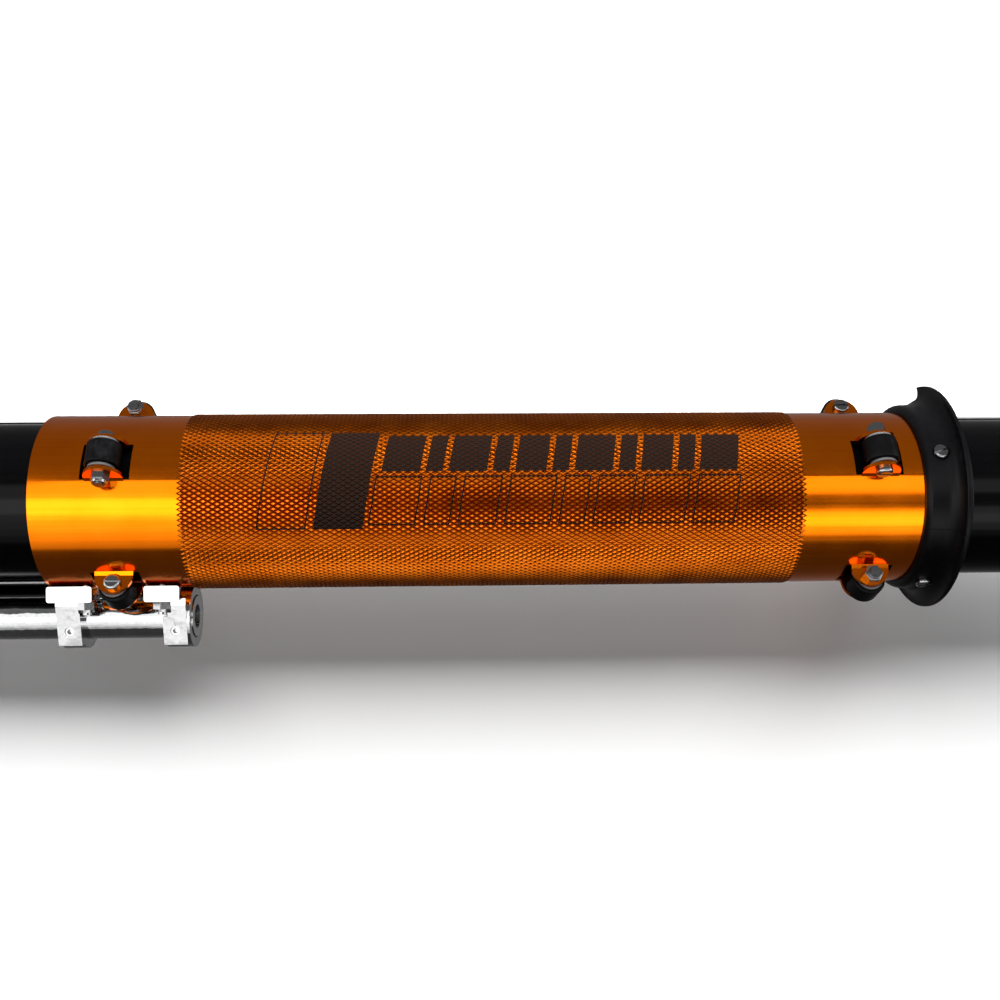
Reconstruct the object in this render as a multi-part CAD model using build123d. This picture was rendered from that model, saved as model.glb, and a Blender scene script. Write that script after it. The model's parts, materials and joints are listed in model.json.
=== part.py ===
"""Automatic drywall taper: a mud tube with a sliding control tube, a taping head and a base lever.

Frame: millimetres, origin at the centre of the base cap's flat end, +X out of the base along the
tube's axis, so the head lies at -X. The tape side is -Y, the creaser side +Y, and the drive wheels
turn about Z. An angle round the tube is measured from +Z towards +Y.
"""

from build123d import *
from math import cos, pi, radians, sin, sqrt
import os

# ---------------------------------------------------------------- driving dimensions
INCH = 25.4
TUBE_R = 2.75 * INCH / 2  # mud tube, outside
TUBE_WALL = 2.1
TUBE_BORE_R = TUBE_R - TUBE_WALL
TUBE_X0, TUBE_X1 = -1150.0, -14.0  # head end and base end of the mud tube

SLEEVE_R = 3.0 * INCH / 2  # control tube, outside
SLEEVE_WALL = 1.6
SLEEVE_LEN = 385.0
SLEEVE_X0 = -700.0  # head end of the control tube, pushed fully forward
SLEEVE_X1 = SLEEVE_X0 + SLEEVE_LEN
SLEEVE_TRAVEL = 110.0

ROLLER_R = 7.0
ROLLER_GAP = 0.25  # between a roller and the mud tube
ROLLER_HALF = 5.3
ROLLER_INSET = 31.0  # from each end of the sleeve
ROLLER_ANGLES = (26.5, 116.5, 206.5, 296.5)
ROLLER_AXIS_R = TUBE_R + ROLLER_R + ROLLER_GAP
WINDOW_HALF_X = 10.2
EAR_IN, EAR_OUT = 6.7, 8.2  # the two faces of an ear, sideways from the roller's middle
EAR_R = 8.0
EAR_BASE_R = 38.6
AXLE_R = 2.0
FIT = 0.05  # running or slip clearance on a radius

LINK_Y, LINK_Z = -51.3, -4.0  # linkage tube's axis
LINK_R = 0.75 * INCH / 2
LINK_X0 = -1135.0
GUIDE_TUBE_Y, GUIDE_TUBE_Z, GUIDE_TUBE_R = -43.0, -18.0, 6.0

STRIP_Y = 35.5  # middle of the creaser pull strip
STRIP_HALF_T, STRIP_HALF_W = 0.5, 4.0
PULL_PIN_Y = 41.5  # cross pins of the lever and the creaser arm in the strip's forks

HEAD_X0, HEAD_X1 = -1245.0, -1165.0  # head block's square part
HEAD_HALF_W = 28.9
NOZZLE_X0 = -1286.0
PLATE_T = 4.0
PLATE_IN, PLATE_OUT = HEAD_HALF_W + 0.05, HEAD_HALF_W + 0.05 + PLATE_T

WHEEL_X, WHEEL_R = -1334.0, 42.0
WHEEL_Z0, WHEEL_Z1 = 39.6, 51.6
STUB_R = 5.0
DRUM_X, DRUM_R = -1205.0, 12.0
CABLE_R = 0.8
DRUM_Y = -(DRUM_R + CABLE_R)
SPROCKET_Z0, SPROCKET_Z1 = 34.6, 37.4
AXLE_SPROCKET_R, DRUM_SPROCKET_R = 20.0, 12.0

CREASER_PIVOT = (-1240.0, 61.5)
CREASER_WHEEL = (-1332.0, 2.0)
CREASER_R = 26.0
LEVER_PIVOT = (-62.0, 55.5)
PIN_R = 1.5

CUTTER_X, CUTTER_Y = -1268.0, -50.0
CUTTER_REST_Z = -22.0

REEL_X, REEL_Y = -945.0, -165.0
REEL_R, REEL_CORE_R, REEL_CORE_LEN = 80.0, 24.5, 52.0

PORT_X, PORT_R, PORT_TOP_Z = -1085.0, 9.5, 58.0
THROAT_R, THROAT_TOP_Z = 9.0, 38.0  # the narrower bore below the filler port's own
FLAP_Z, FLAP_HINGE = 35.5, 6.6  # the flap bends along a line this far from the port's axis

PISTON_X0, PISTON_X1 = -78.0, -44.0


# ---------------------------------------------------------------- small helpers
def bar_x(x0, x1, radius, y=0.0, z=0.0):
    return Pos((x0 + x1) / 2, y, z) * Rot(0, 90, 0) * Cylinder(radius, abs(x1 - x0))


def bar_y(y0, y1, radius, x=0.0, z=0.0):
    return Pos(x, (y0 + y1) / 2, z) * Rot(90, 0, 0) * Cylinder(radius, abs(y1 - y0))


def bar_z(z0, z1, radius, x=0.0, y=0.0):
    return Pos(x, y, (z0 + z1) / 2) * Cylinder(radius, abs(z1 - z0))


def tube_x(x0, x1, outer, inner, y=0.0, z=0.0):
    return bar_x(x0, x1, outer, y, z) - bar_x(x0 - 1, x1 + 1, inner, y, z)


def block(x0, x1, y0, y1, z0, z1):
    centre = ((x0 + x1) / 2, (y0 + y1) / 2, (z0 + z1) / 2)
    return Pos(*centre) * Box(abs(x1 - x0), abs(y1 - y0), abs(z1 - z0))


def plate(points, z0, z1, corner=0.0):
    """A flat plate of that outline in X and Y, its corners rounded."""
    outline = Polygon(*points, align=None)
    if corner:
        outline = fillet(outline.vertices(), corner)
    return Pos(0, 0, z0) * extrude(outline, amount=z1 - z0, dir=(0, 0, 1))


def belt(centre_a, radius_a, centre_b, radius_b, z0, z1):
    """The solid that a belt round two pulleys encloses."""
    rounds = (Pos(*centre_a) * Circle(radius_a)).edges() + (Pos(*centre_b) * Circle(radius_b)).edges()
    return Pos(0, 0, z0) * extrude(make_hull(rounds), amount=z1 - z0)


def station(x, angle):
    """A place on the tube: local Z runs outwards at that angle, local Y sideways, X along the tube."""
    return Pos(x, 0, 0) * Rot(-angle, 0, 0)


def hex_nut(across_flats, height, bore):
    """A locking nut along +Z from the origin: hexagon with a smaller round collar on top."""
    hexagon = extrude(RegularPolygon(across_flats / sqrt(3), 6), amount=0.75 * height)
    collar = bar_z(0.75 * height, height, 0.44 * across_flats)
    return hexagon + collar - bar_z(-1, height + 1, bore)


def pan_head(radius, height, slot=True):
    """A slotted pan head along +Z from the origin."""
    head = bar_z(0, height, radius)
    head = fillet(head.edges().filter_by(GeomType.CIRCLE).sort_by(Axis.Z)[-1], 0.45 * height)
    if slot:
        head -= block(-radius - 1, radius + 1, -0.45, 0.45, 0.45 * height, height + 1)
    return head


def group(solids):
    """Separate solids that share one node."""
    return Compound(children=[s for part in solids for s in part.solids()])


# ---------------------------------------------------------------- mud tube and base
def mud_tube():
    port_hole = bar_z(0, 60, PORT_R + 3, PORT_X, 0)
    tube = tube_x(TUBE_X0, TUBE_X1, TUBE_R, TUBE_BORE_R) - port_hole
    for location in base_screw_places():
        tube -= location * bar_z(30, 40, 2.0 + FIT)
    return tube


def base_screw_places():
    return [station(-26.0, angle) for angle in (0.0, 120.0, 240.0)]


def base_cap():
    outline = Polyline(
        (-40, 0), (-40, TUBE_BORE_R - 1.5), (-38.5, TUBE_BORE_R - FIT), (TUBE_X1 + FIT, TUBE_BORE_R - FIT),
        (TUBE_X1 + FIT, TUBE_R + 3), (-3.0, TUBE_R + 3), (0, TUBE_R), (0, 0), close=True,
    )
    cap = revolve(make_face(outline), Axis.X)
    for k in range(24):  # finger grooves round the rim
        cap -= station(0, 15 * k) * Pos(-7.5, 0, TUBE_R + 3.6) * Rot(0, 90, 0) * Cylinder(1.6, 9)
    for location in base_screw_places():
        cap -= location * bar_z(22, 40, 1.9 + FIT)
    return cap


def base_cap_screws():
    screw = bar_z(24, TUBE_R, 1.9) + Pos(0, 0, TUBE_R + 0.1) * pan_head(3.4, 2.0)
    screw += bar_z(TUBE_R - 0.5, TUBE_R + 0.4, 1.9)
    return group([location * screw for location in base_screw_places()])


def piston():
    body = bar_x(PISTON_X0, PISTON_X1, TUBE_BORE_R - 3.5)
    for x in (PISTON_X0, -63.0, PISTON_X1 - 4):  # lands that carry the seals
        body += bar_x(x, x + 4, TUBE_BORE_R - 0.6)
    body -= tube_x(PISTON_X0 + 9, PISTON_X1 + 1, TUBE_BORE_R - 7, 7)
    return body + bar_x(PISTON_X0 - 6, PISTON_X0, 5) - bar_x(PISTON_X0 - 7, PISTON_X0 + 4, CABLE_R + FIT)


def piston_seals():
    seals = []
    for x0, x1 in ((PISTON_X0 + 4.2, -63.2), (-58.8, PISTON_X1 - 4.2)):
        ring = Polyline(
            (x0, TUBE_BORE_R - 3.4), (x1, TUBE_BORE_R - 3.4), (x1, TUBE_BORE_R - 2.2),
            (x0 + 3, TUBE_BORE_R - 0.35), (x0, TUBE_BORE_R - 0.35), close=True,
        )
        seals.append(revolve(make_face(ring), Axis.X))
    return group(seals)


def piston_cable():
    return bar_x(DRUM_X, PISTON_X0 - 0.5, CABLE_R)


# ---------------------------------------------------------------- control tube
def roller_places():
    """(name, place, side) for each roller; side is the way its screw head faces."""
    ends = (("head", SLEEVE_X0 + ROLLER_INSET, 1), ("base", SLEEVE_X1 - ROLLER_INSET, -1))
    return [
        (f"roller_{end}_{k + 1}", station(x, angle), side)
        for end, x, side in ends
        for k, angle in enumerate(ROLLER_ANGLES)
    ]


def ear():
    """One bent-out ear with its bend, on the local +Y side of a window."""
    outline = Pos(0, EAR_BASE_R) * Circle(EAR_R) + Pos(0, EAR_BASE_R - 2.1) * Rectangle(2 * EAR_R, 4.2)
    outline -= Pos(0, EAR_BASE_R - 4.2 - EAR_R) * Rectangle(4 * EAR_R, 2 * EAR_R)
    flat = Plane(origin=(0, EAR_OUT, 0), x_dir=(1, 0, 0), z_dir=(0, -1, 0)) * extrude(
        outline, amount=EAR_OUT - EAR_IN
    )
    bend = Polygon((EAR_OUT - 0.1, 38.9), (EAR_OUT - 0.1, 35.0), (EAR_OUT + 2.7, 35.0), (EAR_OUT + 2.7, 35.7),
                   (EAR_OUT + 0.7, 37.0), align=None)
    bend = Plane(origin=(-EAR_R, 0, 0), x_dir=(0, 1, 0), z_dir=(1, 0, 0)) * extrude(bend, amount=2 * EAR_R)
    return flat + bend


def control_sleeve():
    sleeve = tube_x(SLEEVE_X0, SLEEVE_X1, SLEEVE_R, SLEEVE_R - SLEEVE_WALL)
    pair = ear() + mirror(ear(), Plane.XZ)
    axle_hole = bar_y(-20, 20, AXLE_R + FIT, 0, ROLLER_AXIS_R)
    for _, place, _ in roller_places():
        sleeve -= place * block(-WINDOW_HALF_X, WINDOW_HALF_X, -EAR_OUT, EAR_OUT, 30, 42)
        sleeve += place * pair
        sleeve -= place * axle_hole
    sleeve -= bar_x(SLEEVE_X0 - 1, SLEEVE_X1 + 1, SLEEVE_R - SLEEVE_WALL)
    for place in collar_screw_places():
        sleeve -= place * bar_z(30, 45, 1.9 + FIT)
    for x, z in bracket_stud_places():
        sleeve -= bar_y(-30, -45, 2.0 + FIT, x, z)
    return sleeve


def roller(place):
    wheel = bar_y(-ROLLER_HALF, ROLLER_HALF, ROLLER_R)
    wheel = fillet(wheel.edges().filter_by(GeomType.CIRCLE), 0.9)
    wheel -= bar_y(-20, 20, AXLE_R + FIT)
    return place * Pos(0, 0, ROLLER_AXIS_R) * wheel


def roller_hardware():
    """The axle screws, nuts and washers of all eight rollers."""
    screw = bar_y(-EAR_OUT - 5.3, EAR_OUT + FIT, AXLE_R)
    screw += Pos(0, EAR_OUT + FIT, 0) * Rot(-90, 0, 0) * pan_head(3.5, 2.6)
    nut = Pos(0, -EAR_OUT - FIT, 0) * Rot(90, 0, 0) * hex_nut(7.0, 4.6, AXLE_R + FIT)
    washer = bar_y(ROLLER_HALF + 0.1, EAR_IN - 0.1, 5.6) - bar_y(0, 20, AXLE_R + FIT)
    screws, nuts, washers = [], [], []
    for _, place, side in roller_places():
        turned = place * Pos(0, 0, ROLLER_AXIS_R) * Rot(0, 0, 0 if side > 0 else 180)
        screws.append(turned * screw)
        nuts.append(turned * nut)
        washers += [turned * washer, turned * mirror(washer, Plane.XZ)]
    return group(screws), group(nuts), group(washers)


COLLAR_X0, COLLAR_NECK_R, COLLAR_RIM_R = SLEEVE_X0 + 373.0, 41.5, 49.9
COLLAR_SEAT_R = 41.2  # flat seats under the collar's screw heads
COLLAR_GAP_ANGLE, COLLAR_GAP_HALF = 107.3, 13.0  # where the rim is cut away to clear the strip guides
COLLAR_SEAM = 70.5  # angle of the normal of the plane that splits the collar


def collar_screw_places():
    return [station(COLLAR_X0 + 6.9, angle) for angle in ROLLER_ANGLES]


def collar_ring():
    x = COLLAR_X0
    outer = [
        Line((x, SLEEVE_R + FIT), (x, SLEEVE_R + 0.9)),
        ThreePointArc((x, SLEEVE_R + 0.9), (x + 0.9, COLLAR_NECK_R - 0.8), (x + 3.0, COLLAR_NECK_R)),
        Line((x + 3.0, COLLAR_NECK_R), (x + 7.8, COLLAR_NECK_R + 0.2)),
        ThreePointArc((x + 7.8, COLLAR_NECK_R + 0.2), (x + 11.3, 43.6), (x + 12.7, COLLAR_RIM_R - 0.4)),
        Line((x + 12.7, COLLAR_RIM_R - 0.4), (x + 13.0, COLLAR_RIM_R)),
        Line((x + 13.0, COLLAR_RIM_R), (x + 14.1, COLLAR_RIM_R)),
        Line((x + 14.1, COLLAR_RIM_R), (x + 14.4, 43.4)),
        Line((x + 14.4, 43.4), (x + 18.1, 43.0)),
        Line((x + 18.1, 43.0), (x + 18.5, 42.6)),
        Line((x + 18.5, 42.6), (x + 18.5, SLEEVE_R - 1.4)),
        Line((x + 18.5, SLEEVE_R - 1.4), (SLEEVE_X1 + FIT, SLEEVE_R - 1.4)),
        Line((SLEEVE_X1 + FIT, SLEEVE_R - 1.4), (SLEEVE_X1 + FIT, SLEEVE_R + FIT)),
        Line((SLEEVE_X1 + FIT, SLEEVE_R + FIT), (x, SLEEVE_R + FIT)),
    ]
    ring = revolve(make_face(Curve() + outer), Axis.X)
    for place in collar_screw_places():
        ring -= place * bar_z(30, 50, 1.9 + FIT)
        ring -= place * bar_z(COLLAR_SEAT_R, 60, 3.5)
    gap = station(x + 11.0, COLLAR_GAP_ANGLE) * block(-2.6, 8.0, -COLLAR_GAP_HALF, COLLAR_GAP_HALF, 42.3, 60)
    return ring - gap


def collar_half(side):
    middle = COLLAR_X0 + 10
    half = station(middle, COLLAR_SEAM) * Pos(0, 0, side * 60.08) * Box(60, 120, 120)
    return collar_ring() & half


def collar_screws():
    screw = bar_z(SLEEVE_R - SLEEVE_WALL + 0.3, COLLAR_SEAT_R + 0.5, 1.9)
    screw += Pos(0, 0, COLLAR_SEAT_R + FIT) * Rot(0, 0, 20) * pan_head(3.3, 2.2)
    return group([place * screw for place in collar_screw_places()])


def bracket_stud_places():
    return [(SLEEVE_X0 + s, z) for s in (15.3, 47.6) for z in (-17.0, 10.5)]


BOSS_SPANS = ((1.9, 12.0), (47.4, 58.8))  # along the sleeve, from its head end
BOSS_R = 13.6
LEG_SPANS = ((1.9, 12.0), (47.4, 57.6))
BOSS_FACE_Z, BOSS_FOOT_Z = 11.6, 7.2  # the front of a clamp leg leans back towards its foot
SADDLE_TOP, SADDLE_BOTTOM, SADDLE_BACK_Z = -36.2, -43.0, -21.5


def slide_bracket():
    x = SLEEVE_X0
    pads = [(-0.3, 18.8), (41.0, 56.0)]
    body = block(x + 18, x + 42, SADDLE_TOP, SADDLE_BOTTOM, SADDLE_BACK_Z, 2)
    for s0, s1 in pads:
        pad = block(x + s0, x + s1, SADDLE_TOP, SADDLE_BOTTOM, SADDLE_BACK_Z, 16)
        body += fillet(pad.edges().filter_by(Axis.Z), 1.0)
    for s0, s1 in BOSS_SPANS:
        body += bar_x(x + s0, x + s1, BOSS_R, LINK_Y, LINK_Z)
    for s0, s1 in LEG_SPANS:
        leg = Polygon((-42.0, 2), (-42.0, BOSS_FACE_Z), (-45.0, BOSS_FACE_Z), (-62.6, BOSS_FOOT_Z), (-62.6, 2), align=None)
        body += Plane(origin=(x + s0, 0, 0), x_dir=(0, 1, 0), z_dir=(1, 0, 0)) * extrude(leg, s1 - s0, (0, 0, 1))
    body += block(x - 2, x + 8, SADDLE_TOP - 2, -47.5, -23, -14)
    body -= bar_x(x - 5, x + 70, SLEEVE_R + FIT)
    body -= bar_x(x - 5, x + 70, LINK_R + FIT, LINK_Y, LINK_Z)
    body -= bar_x(x - 5, x + 10, 2.5 + FIT, GUIDE_TUBE_Y, GUIDE_TUBE_Z)
    for stud_x, stud_z in bracket_stud_places():
        body -= bar_y(-30, -50, 2.0 + FIT, stud_x, stud_z)
        z0, z1 = (stud_z - 4.3, stud_z + 20) if stud_z > 0 else (stud_z - 20, stud_z + 4.3)
        body -= block(stud_x - 3.7, stud_x + 3.7, SADDLE_BOTTOM - 5.2, SADDLE_BOTTOM, z0, z1)  # room for the nut
    for screw_x in set_screw_places():
        body -= bar_z(0, 20, 2.0 + FIT, screw_x, SET_SCREW_Y)
    return body


SET_SCREW_Y, SET_SCREW_TOP_Z = LINK_Y - 5.1, 8.2


def set_screw_places():
    return [SLEEVE_X0 + (s0 + s1) / 2 for s0, s1 in LEG_SPANS]


def bracket_fasteners():
    pieces = []
    for x, z in bracket_stud_places():
        top = -sqrt((SLEEVE_R - SLEEVE_WALL) ** 2 - (abs(z) - 2.0) ** 2)
        pieces.append(bar_y(top, -48.8, 2.0, x, z))
        nut = Rot(90, 0, 0) * Rot(0, 0, 30) * hex_nut(7.0, 4.6, 2.0 + FIT)
        pieces.append(Pos(x, SADDLE_BOTTOM - FIT, z) * nut)
    tip_z = LINK_Z + sqrt(LINK_R**2 - (SET_SCREW_Y - LINK_Y) ** 2) + 1.2
    for x in set_screw_places():
        screw = bar_z(tip_z, SET_SCREW_TOP_Z, 2.0, x, SET_SCREW_Y)
        socket = Pos(x, SET_SCREW_Y, SET_SCREW_TOP_Z - 1.8) * extrude(RegularPolygon(1.2, 6), amount=4)
        pieces.append(screw - socket)
    return group(pieces)


def linkage_tube():
    end = SLEEVE_X0 + BOSS_SPANS[1][1] - 0.9
    return tube_x(LINK_X0, end, LINK_R, LINK_R - 1.5, LINK_Y, LINK_Z)


def tube_end_bush():
    end = SLEEVE_X0 + BOSS_SPANS[1][1] - 0.9
    bush = bar_x(end - 14, end + 1, LINK_R - 1.5 - FIT, LINK_Y, LINK_Z)
    bush += bar_x(end + FIT, end + 1.3, LINK_R - 0.6, LINK_Y, LINK_Z)
    return bush - bar_x(end - 9, end + 5, 5.3, LINK_Y, LINK_Z)


def tape_needle():
    """The plug in the linkage tube's head end, and the forked needle that pushes the tape."""
    plug = bar_x(LINK_X0 - 8, LINK_X0 + 12, LINK_R - 1.5 - FIT, LINK_Y, LINK_Z)
    riser = block(LINK_X0 - 8, LINK_X0 - 2, LINK_Y, -41.4, -5, 5)
    blade = block(-1254, LINK_X0 - 2, -42.6, -41.5, -5, 5)
    blade -= block(-1256, -1226, -44, -40, -2.4, 2.4)
    points = [(-1254 - 1, 2.2), (-1254 - 1, 6), (-1246, 6), (-1254, 3.4)]
    for mirror_side in (1, -1):
        tip = Polygon(*[(px, mirror_side * pz) for px, pz in points], align=None)
        blade -= Plane(origin=(0, -44, 0), x_dir=(1, 0, 0), z_dir=(0, -1, 0)) * extrude(tip, amount=-6)
    return plug + riser + blade


def cutter_pull_rod():
    return bar_x(SLEEVE_X0 - 160, SLEEVE_X0 + 7.5, 2.5, GUIDE_TUBE_Y, GUIDE_TUBE_Z)


# ---------------------------------------------------------------- linkage on the mud tube
def cutter_guide_tube():
    return tube_x(-1120, SLEEVE_X0 - 4, GUIDE_TUBE_R, GUIDE_TUBE_R - 1.3, GUIDE_TUBE_Y, GUIDE_TUBE_Z)


def strip_slot(x0, x1):
    """The way that a band round the tube leaves for the pull strip."""
    return block(x0 - 1, x1 + 1, 33.0, STRIP_Y + 1.1, -STRIP_HALF_W - 0.7, STRIP_HALF_W + 0.7)


def linkage_guides():
    guides = []
    for x in (-1000.0, -790.0):
        x0, x1 = x - 8, x + 8
        band = tube_x(x0, x1, TUBE_R + 4, TUBE_R + FIT)
        yoke = bar_x(x0, x1, LINK_R + 3.2, LINK_Y, LINK_Z) + bar_x(x0, x1, GUIDE_TUBE_R + 2.4, GUIDE_TUBE_Y, GUIDE_TUBE_Z)
        yoke += block(x0, x1, -36, -50, -14, 8)
        yoke -= bar_x(x0 - 1, x1 + 1, TUBE_R + FIT)
        yoke -= bar_x(x0 - 1, x1 + 1, LINK_R + FIT, LINK_Y, LINK_Z)
        yoke -= bar_x(x0 - 1, x1 + 1, GUIDE_TUBE_R + 0.02, GUIDE_TUBE_Y, GUIDE_TUBE_Z)
        guides.append(band + yoke - strip_slot(x0, x1))
    return group(guides)


def strip_guides():
    """Small staples that keep the pull strip on the tube."""
    guides = []
    for x in (-1060.0, -850.0, -150.0):
        band = tube_x(x - 4, x + 4, TUBE_R + 3, TUBE_R + FIT)
        arc = station(x, 90.0) * block(-10, 10, -16, 16, 25, 50)
        guides.append((band & arc) - strip_slot(x - 4, x + 4))
    return group(guides)


def creaser_strip():
    x0, x1 = CREASER_PIVOT[0] + 9, LEVER_PIVOT[0] - 9
    strip = block(x0, x1, STRIP_Y - STRIP_HALF_T, STRIP_Y + STRIP_HALF_T, -STRIP_HALF_W, STRIP_HALF_W)
    for centre, way in ((CREASER_PIVOT[0], 1), (LEVER_PIVOT[0], -1)):
        fork = block(centre - 4 * way, centre + 14 * way, STRIP_Y - 0.5, PULL_PIN_Y + 4.5, -6.4, 6.4)
        fork -= block(centre - 6 * way, centre + 8 * way, STRIP_Y - 8, PULL_PIN_Y + 8, -3.4, 3.4)
        fork -= block(centre - PIN_R - 0.3, centre + PIN_R + 0.3, PULL_PIN_Y - 2.0, PULL_PIN_Y + 3.2, -8, 8)
        strip += fork
    return strip


# ---------------------------------------------------------------- creaser
def creaser_arm():
    px, py = CREASER_PIVOT
    wx, wy = CREASER_WHEEL
    arm = belt((px, py), 8.5, (wx, wy), 6.0, -4.5, -2.9) + belt((px, py), 8.5, (wx, wy), 6.0, 2.9, 4.5)
    arm += bar_z(-4.5, 4.5, 8.5, px, py)
    mid = (px + 0.42 * (wx - px), py + 0.42 * (wy - py))
    arm += belt((px, py), 8.5, mid, 7.4, -4.5, 4.5)
    arm += belt((px, py), 8.5, (px, PULL_PIN_Y), 4.2, -3.0, 3.0)
    arm += bar_z(-6.2, 6.2, PIN_R, px, PULL_PIN_Y)
    arm += bar_z(-6.0, 6.0, 2.5, wx, wy)
    return arm - bar_z(-10, 10, 3.0 + FIT, px, py)


def creaser_wheel():
    wx, wy = CREASER_WHEEL
    rim = Polyline((2.5 + FIT, -2.5), (6, -2.5), (6, -1.2), (20, -1.2), (22, -2.0), (CREASER_R, -0.6),
                   (CREASER_R, 0.6), (22, 2.0), (20, 1.2), (6, 1.2), (6, 2.5), (2.5 + FIT, 2.5), close=True)
    face = Plane.XZ * make_face(rim)
    return Pos(wx, wy, 0) * revolve(face, Axis.Z)


def creaser_lever():
    px, py = LEVER_PIVOT
    hand = [(px + 6, py + 6), (px - 18, py + 15), (px - 62, py + 33), (px - 112, py + 44), (px - 116, py + 39),
            (px - 110, py + 33), (px - 64, py + 22), (px - 20, py + 2), (px - 6, py - 6)]
    lever = plate(hand, -6, 6, 2.5)
    lever = lever + bar_z(-6, 6, 8, px, py) + belt((px, py), 7.5, (px, PULL_PIN_Y), 4.0, -3.0, 3.0)
    lever += bar_z(-6.2, 6.2, PIN_R, px, PULL_PIN_Y)
    return lever - bar_z(-10, 10, 3.0 + FIT, px, py)


def lever_bracket():
    px, py = LEVER_PIVOT
    x0, x1 = px - 14, px + 14
    band = tube_x(x0, x1, TUBE_R + 4, TUBE_R + FIT) - strip_slot(x0, x1) - block(x0 - 1, x1 + 1, 30, 45, -7, 7)
    cheek = [(x0, 30), (x1, 30), (x1, 40), (px + 9, py + 9), (px - 9, py + 9), (x0, 40)]
    cheeks = plate(cheek, 7, 10, 2) + plate(cheek, -10, -7, 2)
    cheeks -= bar_x(x0 - 1, x1 + 1, TUBE_R + FIT)
    return band + cheeks - bar_z(-20, 20, 3.0, px, py)


def pivot_pins():
    lever_pin = bar_z(-10.5, 10.5, 3.0 - 0.02, *LEVER_PIVOT)
    arm_pin = bar_z(-PLATE_OUT, PLATE_OUT, 3.0 - 0.02, *CREASER_PIVOT)
    pins = [lever_pin, arm_pin]
    for z0, z1 in ((4.7, PLATE_IN - FIT), (-PLATE_IN + FIT, -4.7)):  # spacers that centre the arm
        spacer = bar_z(z0, z1, 5.0, *CREASER_PIVOT) - bar_z(z0 - 1, z1 + 1, 3.0 + FIT, *CREASER_PIVOT)
        pins.append(spacer)
    return group(pins)


def lever_spring():
    """Torsion spring beside the lever bracket, round the end of the lever's pin."""
    px, py = LEVER_PIVOT
    coils = [Pos(px, py, 11.6 + 1.5 * k) * Torus(5.0, 0.7) for k in range(4)]
    stub = bar_z(10.6, 17.6, 3.2, px, py)
    return group([*coils, stub])


# ---------------------------------------------------------------- head
def head_block():
    socket = bar_x(HEAD_X1, -1112, TUBE_R + 5)
    body = block(HEAD_X0, HEAD_X1 + 2, -40, 28, -HEAD_HALF_W, HEAD_HALF_W)
    body += block(NOZZLE_X0, HEAD_X0 + 2, -40, -14, -HEAD_HALF_W, HEAD_HALF_W)
    head = body + socket
    head -= bar_x(TUBE_X0 - 0.5, -1100, TUBE_R + FIT)
    head -= bar_x(HEAD_X0 + 30, -1140, 26.0, -4)
    head -= block(HEAD_X0 + 8, HEAD_X1 - 3, -36, 22.5, -25, 25)
    head -= block(NOZZLE_X0 + 3, HEAD_X0 + 12, -33, -19, -23, 23)
    head -= block(NOZZLE_X0 + 4, NOZZLE_X0 + 7, -45, -30, -23, 23)  # mud slot over the tape
    head -= block(HEAD_X0 + 14, HEAD_X1 - 10, 20, 30, -20, 20)  # service opening under the cover plate
    head -= strip_slot(HEAD_X1 - 2, -1112)
    head -= bar_z(-30, 30, 4.0 + FIT, DRUM_X, DRUM_Y)
    for x, y in head_screw_places():
        head -= bar_z(-30, 30, 1.9 + FIT, x, y)
    for x, y, z in cover_screw_places():
        head -= bar_y(20, 30, 1.4 + FIT, x, z)
    return head


def head_screw_places():
    return [(-1176, 24.8), (-1176, -38), (-1241, 24.8), (-1281, -36.5)]


def cover_screw_places():
    return [(x, 30.0, z) for x in (HEAD_X0 + 9, HEAD_X1 - 6) for z in (-22.5, 22.5)]


def cover_plate():
    cover = block(HEAD_X0 + 4, HEAD_X1 - 1, 28 + FIT, 30, -26.5, 26.5)
    cover = fillet(cover.edges().filter_by(Axis.Y), 3)
    for x, y, z in cover_screw_places():
        cover -= bar_y(25, 32, 1.4 + FIT, x, z)
    return cover


def side_plate(side):
    wx, wy = WHEEL_X, 0.0
    outline = Polygon(
        (HEAD_X1 - 3, -52), (HEAD_X1 - 3, 30), (-1214, 74), (-1254, 74), (-1292, 38), (wx - 4, 15.5),
        (wx - 4, -15.5), (-1300, -50), (-1285, -60), (-1250, -60), (-1240, -52), align=None,
    )
    outline = fillet(outline.vertices(), 6)
    outline += Pos(wx, wy) * Circle(16)
    for x, y, r in ((-1188, -24, 7), (-1232, 40, 6), (-1290, 12, 9)):
        outline -= Pos(x, y) * Circle(r)
    for x, y in head_screw_places():
        outline -= Pos(x, y) * Circle(1.9 + FIT)
    outline -= Pos(wx, wy) * Circle(STUB_R + 0.02)
    outline -= Pos(*CREASER_PIVOT) * Circle(3.0)
    outline -= Pos(DRUM_X, DRUM_Y) * Circle(4.0 + FIT)
    for x, y in ((-1172.5, -47), (CUTTER_X - 5, CUTTER_Y - 7), (CUTTER_X + 5, CUTTER_Y - 7)):
        outline -= Pos(x, y) * Circle(1.9 + FIT)
    z0 = PLATE_IN if side > 0 else -PLATE_OUT
    return Pos(0, 0, z0) * extrude(outline, amount=PLATE_T)


def head_screws():
    """Screws through both side plates, the tape guide bar and the cover plate's screws."""
    pieces = []
    for side in (1, -1):
        for x, y in head_screw_places():
            shank = bar_z(side * 14, side * (PLATE_OUT + 0.4), 1.9, x, y)
            head = Pos(x, y, side * (PLATE_OUT + FIT)) * Rot(0, 0 if side > 0 else 180, 0) * pan_head(3.6, 1.5)
            pieces.append(shank + head)
    bar = bar_z(-PLATE_IN + FIT, PLATE_IN - FIT, 4.0, -1172.5, -47)
    pieces.append(bar + bar_z(-PLATE_OUT - 0.6, PLATE_OUT + 0.6, 1.9, -1172.5, -47))
    for x, y, z in cover_screw_places():
        pieces.append(bar_y(22, 30.3, 1.4, x, z) + Pos(x, 30 + FIT, z) * Rot(-90, 0, 0) * pan_head(2.6, 1.5))
    return group(pieces)


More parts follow.
